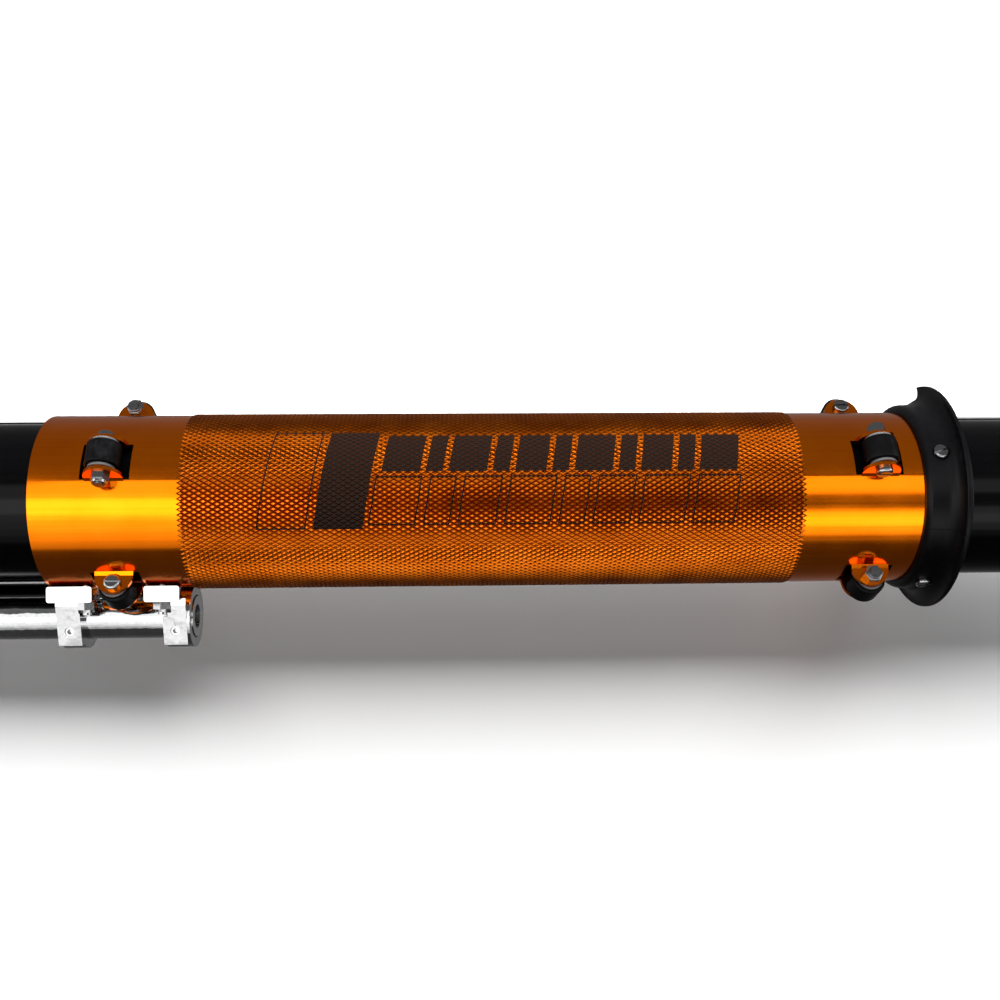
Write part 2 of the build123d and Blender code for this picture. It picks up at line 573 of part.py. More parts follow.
def wheel_stub_axles():
    axles = []
    for side in (1, -1):
        axle = bar_z(side * (PLATE_IN - 3), side * (WHEEL_Z1 + 0.4), STUB_R - 0.02, WHEEL_X)
        axle += bar_z(side * (PLATE_IN - 3), side * (PLATE_IN - FIT), 8.0, WHEEL_X)
        nut = extrude(RegularPolygon(8.0, 6), amount=3.0)
        axle += Pos(WHEEL_X, 0, (WHEEL_Z1 + 0.4) if side > 0 else -(WHEEL_Z1 + 3.4)) * nut
        axles.append(axle)
    return group(axles)


def drive_wheel(side):
    """A thin wheel with a toothed tread and round holes in its web."""
    teeth = 60
    points = []
    for k in range(2 * teeth):
        angle = pi * k / teeth
        r = WHEEL_R if k % 2 else WHEEL_R - 1.1
        points.append((r * cos(angle), r * sin(angle)))
    z0, z1 = WHEEL_Z0, WHEEL_Z1
    wheel = Pos(0, 0, z0) * extrude(Polygon(*points, align=None), amount=z1 - z0)
    wheel -= bar_z(z0 - 1, z0 + 3.5, 36) - bar_z(z0 - 2, z0 + 5, 11)
    wheel -= bar_z(z1 - 3.5, z1 + 1, 36) - bar_z(z1 - 5, z1 + 2, 11)
    for k in range(5):
        angle = radians(72 * k)
        wheel -= bar_z(z0, z1, 6.5, 23.5 * cos(angle), 23.5 * sin(angle))
    if side < 0:
        wheel += bar_z(PLATE_OUT + 0.3, z0, 8)  # the side with no sprocket has a longer hub
    wheel -= bar_z(0, z1 + 1, STUB_R + FIT)
    wheel = Pos(WHEEL_X, 0, 0) * wheel
    return wheel if side > 0 else mirror(wheel, Plane.XY)


def sprocket(radius, teeth):
    """A flat toothed disc between the chain's two faces."""
    disc = Circle(radius)
    for k in range(teeth):
        angle = 2 * pi * k / teeth
        disc -= Pos(radius * cos(angle), radius * sin(angle)) * Circle(1.5)
    return Pos(0, 0, SPROCKET_Z0) * extrude(disc, amount=SPROCKET_Z1 - SPROCKET_Z0)


def axle_sprocket():
    gear = sprocket(AXLE_SPROCKET_R, 20) + bar_z(PLATE_OUT + 0.3, WHEEL_Z0 - FIT, 9)
    return Pos(WHEEL_X, 0, 0) * (gear - bar_z(0, 60, STUB_R + FIT))


def cable_drum():
    drum = bar_z(-24, 24, DRUM_R) + bar_z(-24, -21, 20) + bar_z(21, 24, 20)
    for k in range(9):  # cable grooves on one half of the drum, the other half is bare
        drum -= Pos(0, 0, -18 + 2.1 * k) * Torus(DRUM_R + 0.3, CABLE_R)
    drum += bar_z(-PLATE_OUT - 1.5, SPROCKET_Z1 + 0.5, 4.0)
    return Pos(DRUM_X, DRUM_Y, 0) * drum


def drum_sprocket():
    gear = sprocket(DRUM_SPROCKET_R, 12) + bar_z(PLATE_OUT + 0.3, SPROCKET_Z0, 7)
    return Pos(DRUM_X, DRUM_Y, 0) * (gear - bar_z(0, 60, 4.0 + 0.01))


def drive_chain():
    a, b = (WHEEL_X, 0), (DRUM_X, DRUM_Y)
    z0, z1 = SPROCKET_Z0 + 0.1, SPROCKET_Z1 - 0.1
    outer = belt(a, AXLE_SPROCKET_R + 3.4, b, DRUM_SPROCKET_R + 3.4, z0, z1)
    return outer - belt(a, AXLE_SPROCKET_R + 0.35, b, DRUM_SPROCKET_R + 0.35, z0 - 1, z1 + 1)


def chain_cover():
    a, b = (WHEEL_X, 0), (DRUM_X, DRUM_Y)
    z0, z1 = PLATE_OUT + FIT, WHEEL_Z0 - 0.4
    cover = belt(a, AXLE_SPROCKET_R + 5.4, b, DRUM_SPROCKET_R + 5.4, z0, z1)
    cover -= belt(a, AXLE_SPROCKET_R + 4.0, b, DRUM_SPROCKET_R + 4.0, z0 - 1, z1 - 1.2)
    return cover - bar_z(z1 - 3, z1 + 2, 10.5, *a)


# ---------------------------------------------------------------- cutter
def cutter_channel():
    x, y = CUTTER_X, CUTTER_Y
    channel = block(x - 8, x + 8, y - 8, y + 5.5, -PLATE_IN + FIT, PLATE_IN - FIT)
    channel -= block(x - 5.3, x + 5.3, y - 4.2, y + 4.2, -40, 40)
    channel -= block(x - 1.2, x + 1.2, y, y + 10, -40, 40)
    for dx in (-5, 5):
        channel -= bar_z(-30, 30, 0.9, x + dx, y - 6.4)
    return channel


def cutter_block():
    x, y, z = CUTTER_X, CUTTER_Y, CUTTER_REST_Z
    return block(x - 5, x + 5, y - 3.9, y + 3.9, z - 5, z + 5) - block(x - 0.45, x + 0.45, y - 2, y + 5, z - 3.5, z + 3.5)


def cutter_blade():
    x, y, z = CUTTER_X, CUTTER_Y, CUTTER_REST_Z
    outline = [(z - 3.4, y - 1.9), (z + 3.4, y - 1.9), (z + 3.4, y + 4.2), (z, y + 9.2), (z - 3.4, y + 4.2)]
    face = Plane(origin=(x - 0.4, 0, 0), x_dir=(0, 0, 1), z_dir=(-1, 0, 0)) * Polygon(*outline, align=None)
    return extrude(face, amount=-0.8)


def cutter_cable():
    """Bowden cable from the guide tube's head end to the cutter channel, along the side plate."""
    start = (-1120.5, GUIDE_TUBE_Y, GUIDE_TUBE_Z)
    corners = [start, (-1140, GUIDE_TUBE_Y, GUIDE_TUBE_Z), (-1160, -50, -37), (-1200, -54, -37),
               (-1240, -55, -37), (-1258.5, -55, -37)]
    path = FilletPolyline(*corners, radius=[9, 9, 40, 60])
    profile = Plane(origin=start, z_dir=(-1, 0, 0)) * Circle(1.6)
    return sweep(profile, path=path)


# ---------------------------------------------------------------- tape reel
def reel_bracket():
    x0, x1 = REEL_X - 12, REEL_X + 12
    band = tube_x(x0, x1, TUBE_R + 4.6, TUBE_R + FIT)
    neck = block(x0, x1, -10, 10, -46, -36)
    arm = plate([(x0, 12), (x1, 12), (x1, -60), (REEL_X + 9, REEL_Y), (REEL_X - 9, REEL_Y), (x0, -60)], -45, -40)
    arm += bar_z(-45, -40, 16, REEL_X, REEL_Y)
    lugs = block(x0, x1, -8, 8, 36, 46) - block(x0 - 1, x1 + 1, -1.2, 1.2, 30, 50)
    bracket = band + neck + arm + lugs
    bracket -= bar_x(x0 - 1, x1 + 1, TUBE_R + FIT)
    bracket -= block(x0 - 1, x1 + 1, -1.2, 1.2, 30, 50)
    bracket -= strip_slot(x0, x1)
    for dx in (-6, 6):
        bracket -= bar_y(-20, 20, 2.0 + FIT, REEL_X + dx, 42.8)
    return bracket - bar_z(-50, -30, 5.0, REEL_X, REEL_Y)


def reel_spindle():
    top = REEL_CORE_LEN / 2 + 4
    spindle = bar_z(-46, top + 12, 5.0 - 0.02, REEL_X, REEL_Y)
    spindle += bar_z(-48, -45 - FIT, 8.0, REEL_X, REEL_Y)
    knob = bar_z(top + 1, top + 12, 14, REEL_X, REEL_Y)
    for k in range(8):
        angle = radians(45 * k)
        knob -= bar_z(top, top + 13, 2.6, REEL_X + 15 * cos(angle), REEL_Y + 15 * sin(angle))
    return spindle + knob


def reel_disc():
    """The spool: a slotted base plate with the hollow core that the tape roll sits on."""
    z0 = -REEL_CORE_LEN / 2 - 5
    disc = bar_z(z0, z0 + 3, REEL_R, REEL_X, REEL_Y) + bar_z(z0, z0 + 5 + REEL_CORE_LEN + 3, REEL_CORE_R, REEL_X, REEL_Y)
    disc -= bar_z(z0 + 6, z0 + 100, REEL_CORE_R - 2.5, REEL_X, REEL_Y)
    disc += bar_z(z0, z0 + REEL_CORE_LEN + 8, 9, REEL_X, REEL_Y)
    disc += block(REEL_X - 23, REEL_X + 23, REEL_Y - 1.5, REEL_Y + 1.5, z0 + 1, z0 + 50)
    disc -= bar_z(z0 - 3, z0 + 100, 5.0 + FIT, REEL_X, REEL_Y)
    for k in range(6):
        angle = radians(60 * k + 30)
        disc -= bar_z(z0 - 1, z0 + 4, 14, REEL_X + 52 * cos(angle), REEL_Y + 52 * sin(angle))
    return disc


def clamp_screws():
    """Pinch screws of the reel bracket."""
    pieces = []
    for dx in (-6, 6):
        shank = bar_y(-12.2, 8, 2.0, REEL_X + dx, 42.8)
        head = Pos(REEL_X + dx, 8 + FIT, 42.8) * Rot(-90, 0, 0) * pan_head(3.6, 2.4)
        pieces.append(shank + bar_y(7.9, 8.3, 2.0, REEL_X + dx, 42.8) + head)
        pieces.append(Pos(REEL_X + dx, -8 - FIT, 42.8) * Rot(90, 0, 0) * hex_nut(7.0, 4.0, 2.0 + FIT))
    return group(pieces)


# ---------------------------------------------------------------- filler valve
def filler_valve():
    body = bar_z(30, PORT_TOP_Z, PORT_R + 3, PORT_X) + bar_z(34, 40, PORT_R + 9, PORT_X)
    body -= bar_x(PORT_X - 30, PORT_X + 30, TUBE_R + FIT)
    neck = bar_z(30, 45, PORT_R + 3 - FIT, PORT_X) & bar_x(PORT_X - 30, PORT_X + 30, TUBE_R + 1)
    neck -= bar_x(PORT_X - 30, PORT_X + 30, TUBE_BORE_R + 0.2)
    body = body + neck
    groove = bar_z(50, 54, PORT_R + 5, PORT_X) - bar_z(49, 55, PORT_R + 2, PORT_X)
    body -= groove + bar_z(THROAT_TOP_Z, 70, PORT_R, PORT_X)
    body -= bar_z(20, FLAP_Z - 0.3, PORT_R + 1.8, PORT_X)  # room for the flap to swing down
    return body - bar_z(20, 70, THROAT_R, PORT_X)


def filler_flap():
    """Rubber flap inside the valve's mouth that the mud pushes open, hinged along its -X edge."""
    flap = bar_z(FLAP_Z - 0.6, FLAP_Z + 0.6, THROAT_R - 0.3, PORT_X)
    for side in (-1, 1):  # the web that bends is narrower than the flap
        flap -= block(PORT_X - 20, PORT_X - FLAP_HINGE + 0.6, side * 4.6, side * 20, 30, 40)
    return flap - block(PORT_X - 20, PORT_X - FLAP_HINGE - 0.8, -20, 20, 30, 40)


# ---------------------------------------------------------------- all nodes
def nodes():
    axle_screws, axle_nuts, axle_washers = roller_hardware()
    made = {
        "mud_tube": mud_tube(),
        "base_cap": base_cap(),
        "base_cap_screws": base_cap_screws(),
        "piston": piston(),
        "piston_seals": piston_seals(),
        "piston_cable": piston_cable(),
        "control_sleeve": control_sleeve(),
        "collar_half_upper": collar_half(1),
        "collar_half_lower": collar_half(-1),
        "collar_screws": collar_screws(),
        "roller_axle_screws": axle_screws,
        "roller_nuts": axle_nuts,
        "roller_washers": axle_washers,
        "slide_bracket": slide_bracket(),
        "bracket_fasteners": bracket_fasteners(),
        "linkage_tube": linkage_tube(),
        "tube_end_bush": tube_end_bush(),
        "tape_needle": tape_needle(),
        "cutter_pull_rod": cutter_pull_rod(),
        "cutter_guide_tube": cutter_guide_tube(),
        "linkage_guides": linkage_guides(),
        "strip_guides": strip_guides(),
        "creaser_strip": creaser_strip(),
        "creaser_arm": creaser_arm(),
        "creaser_wheel": creaser_wheel(),
        "creaser_lever": creaser_lever(),
        "lever_bracket": lever_bracket(),
        "lever_spring": lever_spring(),
        "pivot_pins": pivot_pins(),
        "head_block": head_block(),
        "cover_plate": cover_plate(),
        "side_plate_right": side_plate(1),
        "side_plate_left": side_plate(-1),
        "head_screws": head_screws(),
        "wheel_stub_axles": wheel_stub_axles(),
        "drive_wheel_right": drive_wheel(1),
        "drive_wheel_left": drive_wheel(-1),
        "axle_sprocket": axle_sprocket(),
        "cable_drum": cable_drum(),
        "drum_sprocket": drum_sprocket(),
        "drive_chain": drive_chain(),
        "chain_cover": chain_cover(),
        "cutter_channel": cutter_channel(),
        "cutter_block": cutter_block(),
        "cutter_blade": cutter_blade(),
        "cutter_cable": cutter_cable(),
        "reel_bracket": reel_bracket(),
        "reel_spindle": reel_spindle(),
        "reel_disc": reel_disc(),
        "clamp_screws": clamp_screws(),
        "filler_valve": filler_valve(),
        "filler_flap": filler_flap(),
    }
    for name, place, _ in roller_places():
        made[name] = roller(place)
    return made


os.makedirs("parts", exist_ok=True)
for name, shape in nodes().items():
    export_step(shape, f"parts/{name}.step")
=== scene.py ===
"""Looks of the automatic drywall taper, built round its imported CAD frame.

Metres, in the part's own frame: +X out of the base along the mud tube's axis, +Y towards the creaser
lever, +Z towards the camera. An angle round the tube is measured from +Z towards +Y.
"""

import json
from math import atan2, cos, pi, radians, sin

import bpy
from mathutils import Matrix, Vector


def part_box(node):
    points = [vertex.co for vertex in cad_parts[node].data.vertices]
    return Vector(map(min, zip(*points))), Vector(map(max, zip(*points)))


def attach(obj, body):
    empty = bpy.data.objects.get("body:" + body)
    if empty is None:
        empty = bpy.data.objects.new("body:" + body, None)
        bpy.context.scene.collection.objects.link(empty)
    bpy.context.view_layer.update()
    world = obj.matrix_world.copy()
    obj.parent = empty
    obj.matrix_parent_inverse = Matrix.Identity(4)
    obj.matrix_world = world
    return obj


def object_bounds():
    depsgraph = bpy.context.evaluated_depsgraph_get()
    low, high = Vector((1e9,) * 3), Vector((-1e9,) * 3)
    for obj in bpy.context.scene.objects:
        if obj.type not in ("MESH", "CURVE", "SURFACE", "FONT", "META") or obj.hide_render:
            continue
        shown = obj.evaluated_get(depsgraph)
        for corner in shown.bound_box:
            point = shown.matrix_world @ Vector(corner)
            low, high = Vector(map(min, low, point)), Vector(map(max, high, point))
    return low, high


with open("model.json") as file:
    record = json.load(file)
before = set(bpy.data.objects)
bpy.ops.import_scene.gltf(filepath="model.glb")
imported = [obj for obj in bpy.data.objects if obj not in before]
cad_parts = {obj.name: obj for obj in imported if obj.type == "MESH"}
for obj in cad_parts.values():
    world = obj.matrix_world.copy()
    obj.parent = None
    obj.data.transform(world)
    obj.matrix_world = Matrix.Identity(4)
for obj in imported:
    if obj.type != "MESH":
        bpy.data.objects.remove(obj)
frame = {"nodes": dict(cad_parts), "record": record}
CAD_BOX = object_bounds()

# ---------------------------------------------------------------- sizes read from the frame
SLEEVE_LOW, SLEEVE_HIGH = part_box("control_sleeve")
SLEEVE_X0, SLEEVE_X1 = SLEEVE_LOW.x, SLEEVE_HIGH.x
SLEEVE_R = 0.0381
FLOOR_Z = CAD_BOX[0].z - 0.0002

# ---------------------------------------------------------------- knurled grip and its print
KNURL_X0, KNURL_X1 = SLEEVE_X0 + 0.0603, SLEEVE_X0 + 0.3227
KNURL_LONG, KNURL_ROUND = 69, 108  # diamonds along the grip and round it
KNURL_LOW, KNURL_HIGH = SLEEVE_R + 0.00003, SLEEVE_R + 0.00050
KNURL_FLAT = 0.42  # size of a diamond's flat top, as a part of its base
KNURL_MEAN_R = 0.03855  # turns an angle round the grip into metres


def bars(start, gap, widths):
    """The two ends of each bar in a row."""
    row = []
    for width in widths:
        row.append((start, start + width))
        start += width + gap
    return row


# rows are in metres round the tube from +Z, bars in metres along it from the sleeve's end
UPPER_ROW, LOWER_ROW, TALL_ROW = (0.0120, 0.0302), (-0.0105, 0.0101), (-0.0122, 0.0323)
UPPER_BARS = bars(0.1425, 0.0024, (0.0160, 0.0070, 0.0160, 0.0070, 0.0130, 0.0070, 0.0160, 0.0070, 0.0130,
                                   0.0070, 0.0160))
LOWER_BARS = bars(0.1405, 0.0032, (0.0195, 0.0110, 0.0160, 0.0195, 0.0110, 0.0160, 0.0195, 0.0180))
SOLID_PANEL, OUTLINED_PANEL = (0.1180, 0.1385), (0.0945, 0.1150)
PRINT_SLANT = 0.16  # metres along for each metre round
PRINT_LINE = 0.0006  # width of an outline

SCENE = bpy.context.scene


# ---------------------------------------------------------------- node helpers
class Shader:
    """A material's node tree with short calls for the nodes used here."""

    def __init__(self, name):
        self.mat = bpy.data.materials.new(name)
        self.mat.use_nodes = True
        self.tree = self.mat.node_tree
        self.bsdf = self.tree.nodes["Principled BSDF"]
        self.coords = self.tree.nodes.new("ShaderNodeTexCoord").outputs["Object"]

    def node(self, kind, **values):
        made = self.tree.nodes.new(kind)
        for key, value in values.items():
            setattr(made, key, value)
        return made

    def link(self, source, target):
        self.tree.links.new(source, target)

    def put(self, socket, value):
        """Links a socket to a socket, or stores a number or colour on it."""
        if isinstance(value, bpy.types.NodeSocket):
            self.link(value, socket)
        else:
            socket.default_value = value

    def scaled(self, x, y, z):
        mapping = self.node("ShaderNodeMapping")
        self.link(self.coords, mapping.inputs["Vector"])
        mapping.inputs["Scale"].default_value = (x, y, z)
        return mapping.outputs["Vector"]

    def noise(self, vector, scale, detail=4.0, rough=0.6):
        made = self.node("ShaderNodeTexNoise")
        self.put(made.inputs["Vector"], vector)
        made.inputs["Scale"].default_value = scale
        made.inputs["Detail"].default_value = detail
        made.inputs["Roughness"].default_value = rough
        return made.outputs["Fac"]

    def math(self, operation, a, b=0.0, c=0.0):
        made = self.node("ShaderNodeMath", operation=operation)
        for socket, value in zip(made.inputs, (a, b, c)):
            self.put(socket, value)
        return made.outputs[0]

    def range(self, value, low, high, to_low, to_high):
        made = self.node("ShaderNodeMapRange")
        names = ("Value", "From Min", "From Max", "To Min", "To Max")
        for key, v in zip(names, (value, low, high, to_low, to_high)):
            self.put(made.inputs[key], v)
        return made.outputs["Result"]

    def mix(self, factor, a, b):
        made = self.node("ShaderNodeMix", data_type="RGBA")
        self.put(made.inputs["Factor"], factor)
        self.put(made.inputs[6], a)
        self.put(made.inputs[7], b)
        return made.outputs[2]

    def axes(self):
        split = self.node("ShaderNodeSeparateXYZ")
        self.link(self.coords, split.inputs[0])
        return split.outputs[0], split.outputs[1], split.outputs[2]

    def bump(self, height, strength, distance, normal=None):
        made = self.node("ShaderNodeBump")
        self.put(made.inputs["Height"], height)
        made.inputs["Strength"].default_value = strength
        made.inputs["Distance"].default_value = distance
        if normal is not None:
            self.link(normal, made.inputs["Normal"])
        return made.outputs["Normal"]

    def set(self, **values):
        for key, value in values.items():
            self.put(self.bsdf.inputs[key.replace("_", " ")], value)
        return self


def rgb(r, g, b):
    return (r, g, b, 1.0)


def grey(level, blue=None):
    """A neutral colour, or one whose blue is a touch off."""
    return rgb(level, level, level if blue is None else blue)


# ---------------------------------------------------------------- materials
def gold_anodised():
    """Orange-gold dyed aluminium with fine lines drawn along the tube."""
    s = Shader("gold_anodised")
    lines = s.noise(s.scaled(6, 900, 900), 1.0, 5.0, 0.65)
    cloud = s.noise(s.scaled(1, 1, 1), 55.0, 3.0, 0.5)
    tone = s.math("ADD", s.math("MULTIPLY", lines, 0.55), s.math("MULTIPLY", cloud, 0.45))
    s.set(Base_Color=s.mix(s.range(tone, 0.35, 0.65, 0, 1), rgb(0.88, 0.165, 0.001), rgb(1.0, 0.215, 0.004)),
          Metallic=1.0, Roughness=s.range(tone, 0.3, 0.7, 0.13, 0.22), Anisotropic=0.3,
          Normal=s.bump(lines, 0.10, 0.00002))
    return s.mat


def gold_knurled():
    """The grip's dyed knurling with painted shade darkening the grooves, and a plain black print of slanted
    bars.
    """
    s = Shader("gold_knurled")
    x, y, z = s.axes()
    along = s.math("SUBTRACT", x, SLEEVE_X0)
    across = s.math("MULTIPLY", s.math("ARCTAN2", y, z), KNURL_MEAN_R)
    radius = s.math("SQRT", s.math("ADD", s.math("MULTIPLY", y, y), s.math("MULTIPLY", z, z)))
    height = s.range(radius, KNURL_LOW, KNURL_HIGH, 0, 1)
    cloud = s.noise(s.scaled(1, 1, 1), 60.0, 4.0, 0.6)
    dye_and_groove_shade = s.mix(s.range(cloud, 0.35, 0.65, 0, 1), rgb(0.44, 0.088, 0.003), rgb(0.60, 0.135, 0.006))
    # painted shade: the grooves get a dark colour that rises to the dye towards the diamonds' tops
    dye_and_groove_shade = s.mix(s.range(height, 0.0, 0.75, 0, 1), rgb(0.10, 0.012, 0.001), dye_and_groove_shade)
    slanted = s.math("SUBTRACT", along, s.math("MULTIPLY", across, PRINT_SLANT))

    def both(a, b):
        return s.math("MULTIPLY", a, b)

    def band(value, low, high):
        return both(s.math("GREATER_THAN", value, low), s.math("LESS_THAN", value, high))

    def solid(bar, row, inset=0.0):
        return both(band(slanted, bar[0] + inset, bar[1] - inset),
                    band(across, row[0] + inset, row[1] - inset))

    def outlined(bar, row):
        return s.math("SUBTRACT", solid(bar, row), solid(bar, row, PRINT_LINE))

    inked = [solid(bar, UPPER_ROW) for bar in UPPER_BARS] + [outlined(bar, LOWER_ROW) for bar in LOWER_BARS]
    inked += [solid(SOLID_PANEL, TALL_ROW), outlined(OUTLINED_PANEL, TALL_ROW)]
    mask = inked[0]
    for part in inked[1:]:
        mask = s.math("MAXIMUM", mask, part)
    worn = s.math("MULTIPLY", mask, s.range(height, 0.0, 0.4, 0.85, 1.0))
    s.set(Base_Color=s.mix(worn, dye_and_groove_shade, rgb(0.006, 0.004, 0.003)),
          Metallic=s.math("SUBTRACT", 1.0, worn),
          Roughness=s.math("ADD", s.range(cloud, 0.3, 0.7, 0.20, 0.30), s.math("MULTIPLY", worn, 0.30)),
          Specular_IOR_Level=0.06,
          Normal=s.bump(s.noise(s.scaled(1, 1, 1), 1400.0, 3.0, 0.6), 0.15, 0.00003))
    return s.mat


def plain_metal(name, low, high, rough, drawn=(90, 90, 90), bump=0.08, uneven=0.0):
    """Metal whose tone and gloss vary in patches and fine lines; uneven gives a hand-polished surface."""
    s = Shader(name)
    lines = s.noise(s.scaled(*drawn), 6.0, 6.0, 0.7)
    cloud = s.noise(s.scaled(1, 1, 1), 70.0, 3.0, 0.55)
    tone = s.math("ADD", s.math("MULTIPLY", lines, 0.5), s.math("MULTIPLY", cloud, 0.5))
    s.set(Base_Color=s.mix(s.range(tone, 0.35, 0.65, 0, 1), low, high), Metallic=1.0,
          Roughness=s.range(tone, 0.3, 0.7, rough[0], rough[1]), Normal=s.bump(tone, bump, 0.00003))
    if uneven:
        wave = s.noise(s.scaled(1, 1, 1), 140.0, 2.0, 0.4)
        s.set(Normal=s.bump(wave, uneven, 0.0006, s.bump(tone, bump, 0.00003)))
    return s.mat


def black_anodised():
    """Black tube with a low gloss and a faint drawn grain."""
    s = Shader("black_anodised")
    lines = s.noise(s.scaled(4, 700, 700), 1.0, 4.0, 0.6)
    s.set(Base_Color=s.mix(lines, grey(0.0003, 0.0004), grey(0.0012, 0.0014)), Metallic=0.0,
          Roughness=s.range(lines, 0.3, 0.7, 0.10, 0.18), Specular_IOR_Level=0.08,
          Normal=s.bump(lines, 0.05, 0.00001))
    return s.mat


def black_moulded():
    """Fine-grained black plastic."""
    s = Shader("black_moulded")
    grain = s.noise(s.scaled(1, 1, 1), 1500.0, 3.0, 0.5)
    cloud = s.noise(s.scaled(1, 1, 1), 60.0, 2.0, 0.5)
    s.set(Base_Color=s.mix(cloud, grey(0.0010, 0.0012), grey(0.003, 0.0034)), Metallic=0.0,
          Roughness=s.range(cloud, 0.3, 0.7, 0.24, 0.36), Specular_IOR_Level=0.07,
          Normal=s.bump(grain, 0.10, 0.00003))
    return s.mat


def black_rubber():
    """Matt rubber with specks of dust."""
    s = Shader("black_rubber")
    grain = s.noise(s.scaled(1, 1, 1), 1100.0, 4.0, 0.6)
    dust = s.noise(s.scaled(1, 1, 1), 160.0, 5.0, 0.7)
    s.set(Base_Color=s.mix(s.range(dust, 0.5, 0.75, 0, 1), grey(0.0015, 0.0017), grey(0.006, 0.0065)),
          Roughness=s.range(dust, 0.3, 0.7, 0.32, 0.5), Specular_IOR_Level=0.06,
          Normal=s.bump(grain, 0.25, 0.00005))
    return s.mat


def nylon(name, low, high):
    """Slightly translucent moulded nylon."""
    s = Shader(name)
    grain = s.noise(s.scaled(1, 1, 1), 900.0, 3.0, 0.6)
    s.set(Base_Color=s.mix(grain, low, high), Roughness=s.range(grain, 0.3, 0.7, 0.35, 0.5),
          Subsurface_Weight=0.05, Normal=s.bump(grain, 0.15, 0.00003))
    return s.mat


MATERIALS = {
    "gold_anodised": gold_anodised(),
    "knurl": gold_knurled(),
    "black_anodised": black_anodised(),
    "black_moulded": black_moulded(),
    "black_rubber": black_rubber(),
    "chrome": plain_metal("chrome", grey(0.42, 0.425), grey(0.58, 0.585), (0.05, 0.12), uneven=0.45),
    "steel": plain_metal("steel", grey(0.24, 0.245), grey(0.33, 0.335), (0.14, 0.26), (200, 200, 200)),
    "stainless": plain_metal("stainless", grey(0.52, 0.525), grey(0.66, 0.665), (0.18, 0.30), (8, 500, 500)),
    "cast_aluminium": plain_metal("cast_aluminium", rgb(0.60, 0.61, 0.62), rgb(0.74, 0.75, 0.76),
                                  (0.30, 0.46)),
    "grey_nylon": nylon("grey_nylon", grey(0.05, 0.052), grey(0.07, 0.072)),
    "white_nylon": nylon("white_nylon", grey(0.26, 0.25), grey(0.34, 0.33)),
}

# ---------------------------------------------------------------- CAD nodes
EDGE_WIDTH = 0.0002
EDGE = {"drive_chain": 0.00008, "cutter_blade": 0.00004, "piston_seals": 0.0001, "reel_disc": 0.0004,
        "base_cap": 0.0004, "head_block": 0.0005, "side_plate_right": 0.0004, "side_plate_left": 0.0004,
        "slide_bracket": 0.0004, "creaser_lever": 0.0004, "lever_bracket": 0.0004, "reel_bracket": 0.0004}


def soften(node, width):
    """Small round-overs, so that edges catch the light as machined or moulded ones do."""
    bevel = node.modifiers.new("edges", "BEVEL")
    bevel.width, bevel.segments, bevel.limit_method = width, 2, "ANGLE"
    bevel.angle_limit, bevel.use_clamp_overlap, bevel.harden_normals = radians(40), True, False
    normals = node.modifiers.new("normals", "WEIGHTED_NORMAL")
    normals.keep_sharp, normals.weight = True, 50


def dress_nodes():
    """Gives each CAD node its slot's material and softly broken edges."""
    slots = {part["node"]: part["material_slot"] for part in frame["record"]["subparts"]}
    for name, node in frame["nodes"].items():
        node.data.materials.clear()
        node.data.materials.append(MATERIALS[slots[name]])
        weld = node.modifiers.new("weld", "WELD")
        weld.merge_threshold = 2e-6
        soften(node, EDGE.get(name, EDGE_WIDTH))


# ---------------------------------------------------------------- added pieces
def new_object(name, verts, faces, material):
    """A flat-shaded mesh object in the scene."""
    mesh = bpy.data.meshes.new(name)
    mesh.from_pydata(verts, [], faces)
    mesh.update()
    mesh.materials.append(material)
    made = bpy.data.objects.new(name, mesh)
    SCENE.collection.objects.link(made)
    return made


def knurl():
    """Diamond knurling: flat-topped pyramids between two crossing families of helical grooves."""
    half_x = (KNURL_X1 - KNURL_X0) / (2 * KNURL_LONG)
    half_a = pi / KNURL_ROUND
    columns, rows = 2 * KNURL_LONG, 2 * KNURL_ROUND

    def point(i, j, radius):
        angle = j * half_a
        return (KNURL_X0 + i * half_x, radius * sin(angle), radius * cos(angle))

    verts, faces, crossing = [], [], {}
    for i in range(columns + 1):
        for j in range(rows):
            if (i + j) % 2:
                crossing[i, j] = len(verts)
                verts.append(point(i, j, KNURL_LOW))
    for i in range(1, columns):
        for j in range(i % 2, rows, 2):
            around = [crossing[i + 1, j], crossing[i, (j + 1) % rows],
                      crossing[i - 1, j], crossing[i, (j - 1) % rows]]
            top = len(verts)
            verts += [point(i + KNURL_FLAT * di, j + KNURL_FLAT * dj, KNURL_HIGH)
                      for di, dj in ((1, 0), (0, 1), (-1, 0), (0, -1))]
            for k in range(4):
                n = (k + 1) % 4
                faces.append((around[k], around[n], top + n, top + k))
            faces.append((top, top + 1, top + 2, top + 3))
    grip = new_object("grip_knurling", verts, faces, MATERIALS["knurl"])
    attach(grip, "control_tube")


# ---------------------------------------------------------------- studio
FLOOR_HALF = 6.0
SOFTBOX_FAR = 0.9  # distance of the softboxes from the tube's axis
SOFTBOX_X = (-1.1, -0.15, 1.1)  # ends of the softboxes along the tube, and where left meets right
LOW_STRIPS = ((-26, -17, 1.9, 2.2), (-38, -26, 1.6, 3.2), (-50, -38, 1.15, 1.5), (-61, -50, 0.6, 0.3))


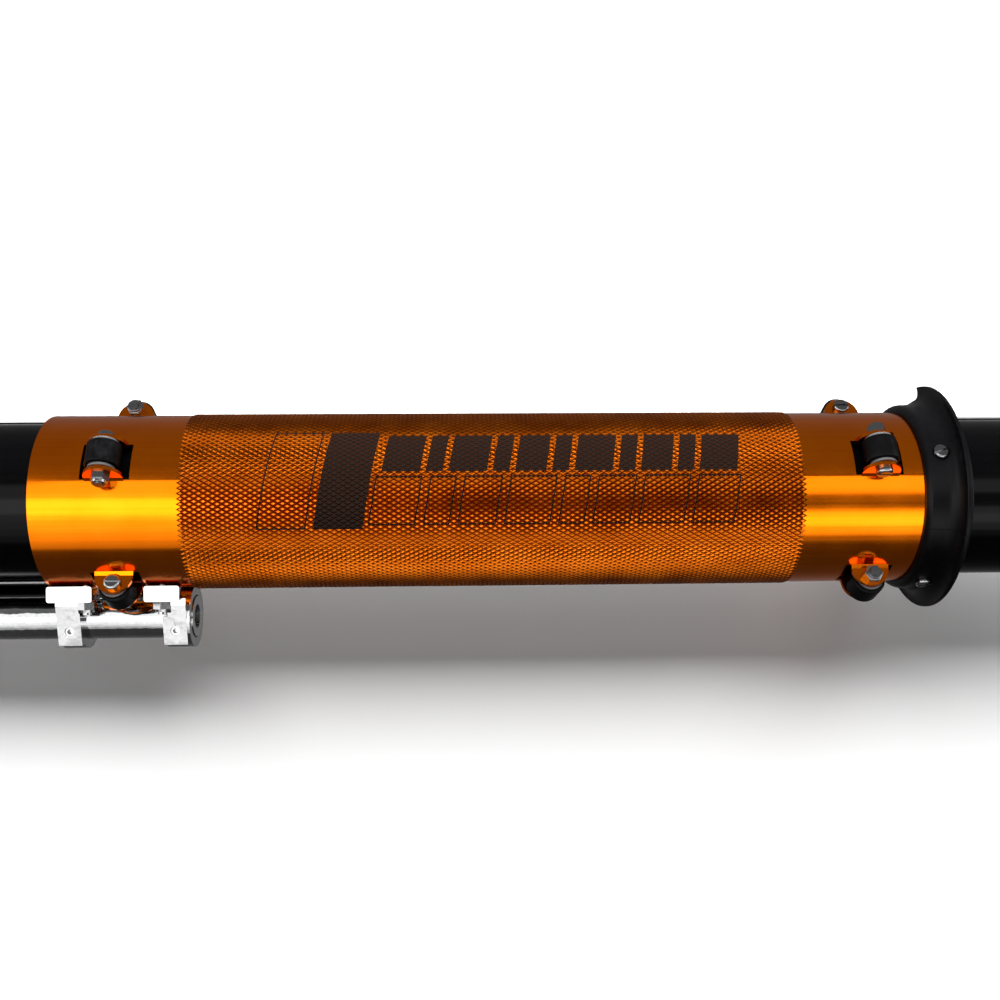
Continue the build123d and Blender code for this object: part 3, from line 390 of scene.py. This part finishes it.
def studio():
    """White floor, softboxes that only metal and gloss reflect, and a soft key that casts the shadow."""
    world = bpy.data.worlds.new("studio")
    world.use_nodes = True
    sky, nodes = world.node_tree, world.node_tree.nodes
    split = nodes.new("ShaderNodeSeparateXYZ")
    sky.links.new(nodes.new("ShaderNodeTexCoord").outputs["Generated"], split.inputs[0])
    glow = nodes.new("ShaderNodeMapRange")
    for key, value in (("From Min", -0.9), ("From Max", -0.2), ("To Min", 0.06), ("To Max", 0.20)):
        glow.inputs[key].default_value = value
    sky.links.new(split.outputs[1], glow.inputs["Value"])
    sky.links.new(glow.outputs["Result"], nodes["Background"].inputs["Strength"])
    nodes["Background"].inputs["Color"].default_value = (1, 1, 1, 1)
    SCENE.world = world
    SCENE.view_settings.view_transform = "Standard"

    paper = Shader("floor").set(Base_Color=grey(0.86), Roughness=0.9).mat
    corners = [(x * FLOOR_HALF, y * FLOOR_HALF, FLOOR_Z) for x, y in ((-1, -1), (1, -1), (1, 1), (-1, 1))]
    floor = new_object("floor", corners, [(0, 1, 2, 3)], paper)
    floor.visible_glossy = False

    middle = Vector(((SLEEVE_X0 + SLEEVE_X1) / 2, 0, 0))

    def lamp(name, place, turn, size_x, size_y, power, glossy, diffuse):
        light = bpy.data.lights.new(name, "AREA")
        light.shape, light.size, light.size_y, light.energy = "RECTANGLE", size_x, size_y, power
        made = bpy.data.objects.new(name, light)
        made.location, made.rotation_euler = place, turn
        made.visible_glossy, made.visible_diffuse = glossy, diffuse
        SCENE.collection.objects.link(made)

    def area(name, place, size_x, size_y, power, glossy, diffuse):
        """A flat light at a place measured from the sleeve's middle, and aimed at it."""
        aim = (-Vector(place)).to_track_quat("-Z", "Y").to_euler()
        lamp(name, middle + Vector(place), aim, size_x, size_y, power, glossy, diffuse)

    def softbox(name, x0, x1, angle0, angle1, glow):
        """A flat light that fills those angles round the tube, seen only in reflections."""
        far = SOFTBOX_FAR
        low, high = far * sin(radians(angle0)), far * sin(radians(angle1))
        y, z = (low + high) / 2, far * (cos(radians(angle0)) + cos(radians(angle1))) / 2
        wide = Vector((high - low, far * (cos(radians(angle1)) - cos(radians(angle0))))).length
        lamp(name, (middle.x + (x0 + x1) / 2, y, z), (-atan2(y, z), 0, 0), x1 - x0, wide,
             glow * (x1 - x0) * wide * pi, True, False)

    start, meet, end = SOFTBOX_X
    softbox("softbox_upper", start, end, 4.5, 25.5, 1.7)
    softbox("softbox_middle", start, meet, -17.0, 4.5, 3.9)
    for low, high, left, right in LOW_STRIPS:
        softbox(f"softbox_left_{-low}", start, meet, low, high, left)
        softbox(f"softbox_right_{-low}", meet, end, low, high, right)
    area("key", (0.0, 1.30, 0.76), 1.9, 1.7, 145, False, True)
    for side in (-1, 1):  # seen only in surfaces that face the tool's ends
        area(f"end_{'base' if side > 0 else 'head'}", (side * 2.3, 0.3, 0.8), 1.6, 1.4, 22, True, False)


CAMERA_TURN, CAMERA_ROLL = 0.0382, -0.0071  # radians
CAMERA_PLACE = (SLEEVE_X0 + 0.1759, -0.0003, 0.5004)


def camera():
    """Looks straight down on the control tube from a little way off, turned slightly towards the base."""
    turn, roll = CAMERA_TURN, CAMERA_ROLL
    ahead = Vector((sin(turn), 0, -cos(turn)))
    right = ahead.cross(Vector((0, 1, 0))).normalized()
    up = right.cross(ahead)
    right, up = cos(roll) * right + sin(roll) * up, -sin(roll) * right + cos(roll) * up
    data = bpy.data.cameras.new("camera")
    data.lens, data.sensor_width, data.clip_start = 40.15, 36.0, 0.01
    eye = bpy.data.objects.new("camera", data)
    axes = Matrix((right, up, -ahead)).transposed().to_4x4()
    eye.matrix_world = Matrix.Translation(CAMERA_PLACE) @ axes
    SCENE.collection.objects.link(eye)
    SCENE.camera = eye


dress_nodes()
knurl()
studio()
camera()
